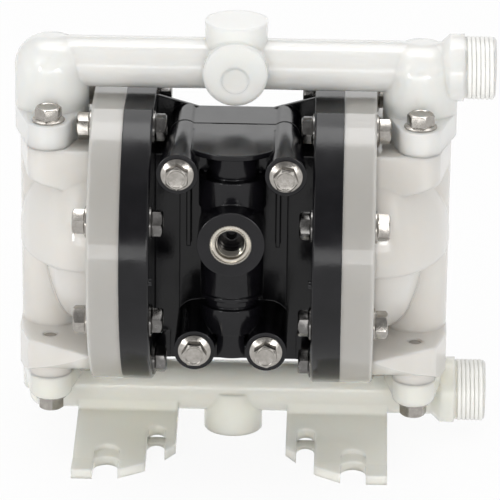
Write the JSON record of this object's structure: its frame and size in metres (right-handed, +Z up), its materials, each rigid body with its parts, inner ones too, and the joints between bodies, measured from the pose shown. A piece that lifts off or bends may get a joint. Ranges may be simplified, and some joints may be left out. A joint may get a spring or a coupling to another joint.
{
  "type": "air operated diaphragm pump",
  "caption": "Air operated double diaphragm pump with translucent plastic fluid caps and manifolds, a black centre section, threaded side ports and slotted feet.",
  "frame": {"origin": "centre of the bounding box, on the floor under the feet", "axes": "+X towards the threaded ports, +Y to the rear, +Z up"},
  "size_m": [0.1986, 0.1288, 0.183],
  "materials": {
    "natural_polypropylene_outlet": "moulded, translucent",
    "natural_polypropylene_inlet": "moulded, translucent",
    "black_moulding": "glossy glass-filled",
    "stainless_hardware": "satin",
    "nickel_insert": "plated",
    "gasket_rubber": "matte",
    "bushing_plastic": "matte",
    "seal_rubber": "matte",
    "seat_plastic": "matte",
    "ball_ptfe": "satin",
    "diaphragm_elastomer": "matte",
    "polished_rod": "polished",
    "piston_plate": "machined",
    "white_plate": "matte",
    "ceramic": "lapped",
    "muffler_plastic": "matte"
  },
  "bodies": {
    "housing": {"air_cap_left": "black_moulding", "air_cap_right": "black_moulding", "air_inlet_insert": "nickel_insert", "cap_bolts_left": "stainless_hardware", "cap_bolts_right": "stainless_hardware", "cap_nuts_left": "stainless_hardware", "cap_nuts_right": "stainless_hardware", "centre_body": "black_moulding", "cover_screws": "stainless_hardware", "exhaust_cover": "black_moulding", "fluid_cap_left": "natural_polypropylene_outlet", "fluid_cap_right": "natural_polypropylene_outlet", "inlet_manifold": "natural_polypropylene_inlet", "manifold_bolts_bottom": "stainless_hardware", "manifold_bolts_top": "stainless_hardware", "muffler": "muffler_plastic", "outlet_manifold": "natural_polypropylene_outlet", "pilot_bushing_left": "bushing_plastic", "pilot_bushing_right": "bushing_plastic", "rod_bushing_left": "bushing_plastic", "rod_bushing_right": "bushing_plastic", "rod_seal_left": "seal_rubber", "rod_seal_right": "seal_rubber", "seat_inlet_left": "seat_plastic", "seat_inlet_right": "seat_plastic", "seat_outlet_left": "seat_plastic", "seat_outlet_right": "seat_plastic", "seat_ring_inlet_left": "seal_rubber", "seat_ring_inlet_right": "seal_rubber", "seat_ring_outlet_left": "seal_rubber", "seat_ring_outlet_right": "seal_rubber", "valve_block": "black_moulding", "valve_block_gasket": "gasket_rubber", "valve_block_screws": "stainless_hardware", "valve_end_plug": "black_moulding", "valve_plate": "ceramic"},
    "diaphragm_rod_set": {"diaphragm_rod": "polished_rod", "inner_plate_left": "piston_plate", "inner_plate_right": "piston_plate", "outer_plate_left": "white_plate", "outer_plate_right": "white_plate", "plate_screw_left": "stainless_hardware", "plate_screw_right": "stainless_hardware", "diaphragm_left": "diaphragm_elastomer", "diaphragm_right": "diaphragm_elastomer"},
    "pilot": {"pilot_rod": "polished_rod"},
    "spool": {"valve_spool": "piston_plate", "spool_rings": "seal_rubber", "valve_slider": "ceramic"},
    "ball_inlet_left_body": {"ball_inlet_left": "ball_ptfe"},
    "ball_inlet_right_body": {"ball_inlet_right": "ball_ptfe"},
    "ball_outlet_left_body": {"ball_outlet_left": "ball_ptfe"},
    "ball_outlet_right_body": {"ball_outlet_right": "ball_ptfe"}
  },
  "joints": [
    {"name": "rod_slide", "type": "slide", "parent": "housing", "child": "diaphragm_rod_set", "axis": [1, 0, 0], "range_m": [-0.006, 0.006], "deforming": ["diaphragm_left", "diaphragm_right"]},
    {"name": "pilot_slide", "type": "slide", "parent": "housing", "child": "pilot", "axis": [1, 0, 0], "range_m": [-0.0023, 0.0023]},
    {"name": "spool_slide", "type": "slide", "parent": "housing", "child": "spool", "axis": [0, 0, 1], "range_m": [0, 0.008]},
    {"name": "ball_inlet_left_lift", "type": "slide", "parent": "housing", "child": "ball_inlet_left_body", "axis": [0, 0, 1], "range_m": [0, 0.0045]},
    {"name": "ball_inlet_right_lift", "type": "slide", "parent": "housing", "child": "ball_inlet_right_body", "axis": [0, 0, 1], "range_m": [0, 0.0045]},
    {"name": "ball_outlet_left_lift", "type": "slide", "parent": "housing", "child": "ball_outlet_left_body", "axis": [0, 0, 1], "range_m": [0, 0.0045]},
    {"name": "ball_outlet_right_lift", "type": "slide", "parent": "housing", "child": "ball_outlet_right_body", "axis": [0, 0, 1], "range_m": [0, 0.0045]}
  ],
  "couplings": [
    {"joint": "pilot_slide", "follows": "rod_slide", "ratio": 0.375}
  ]
}
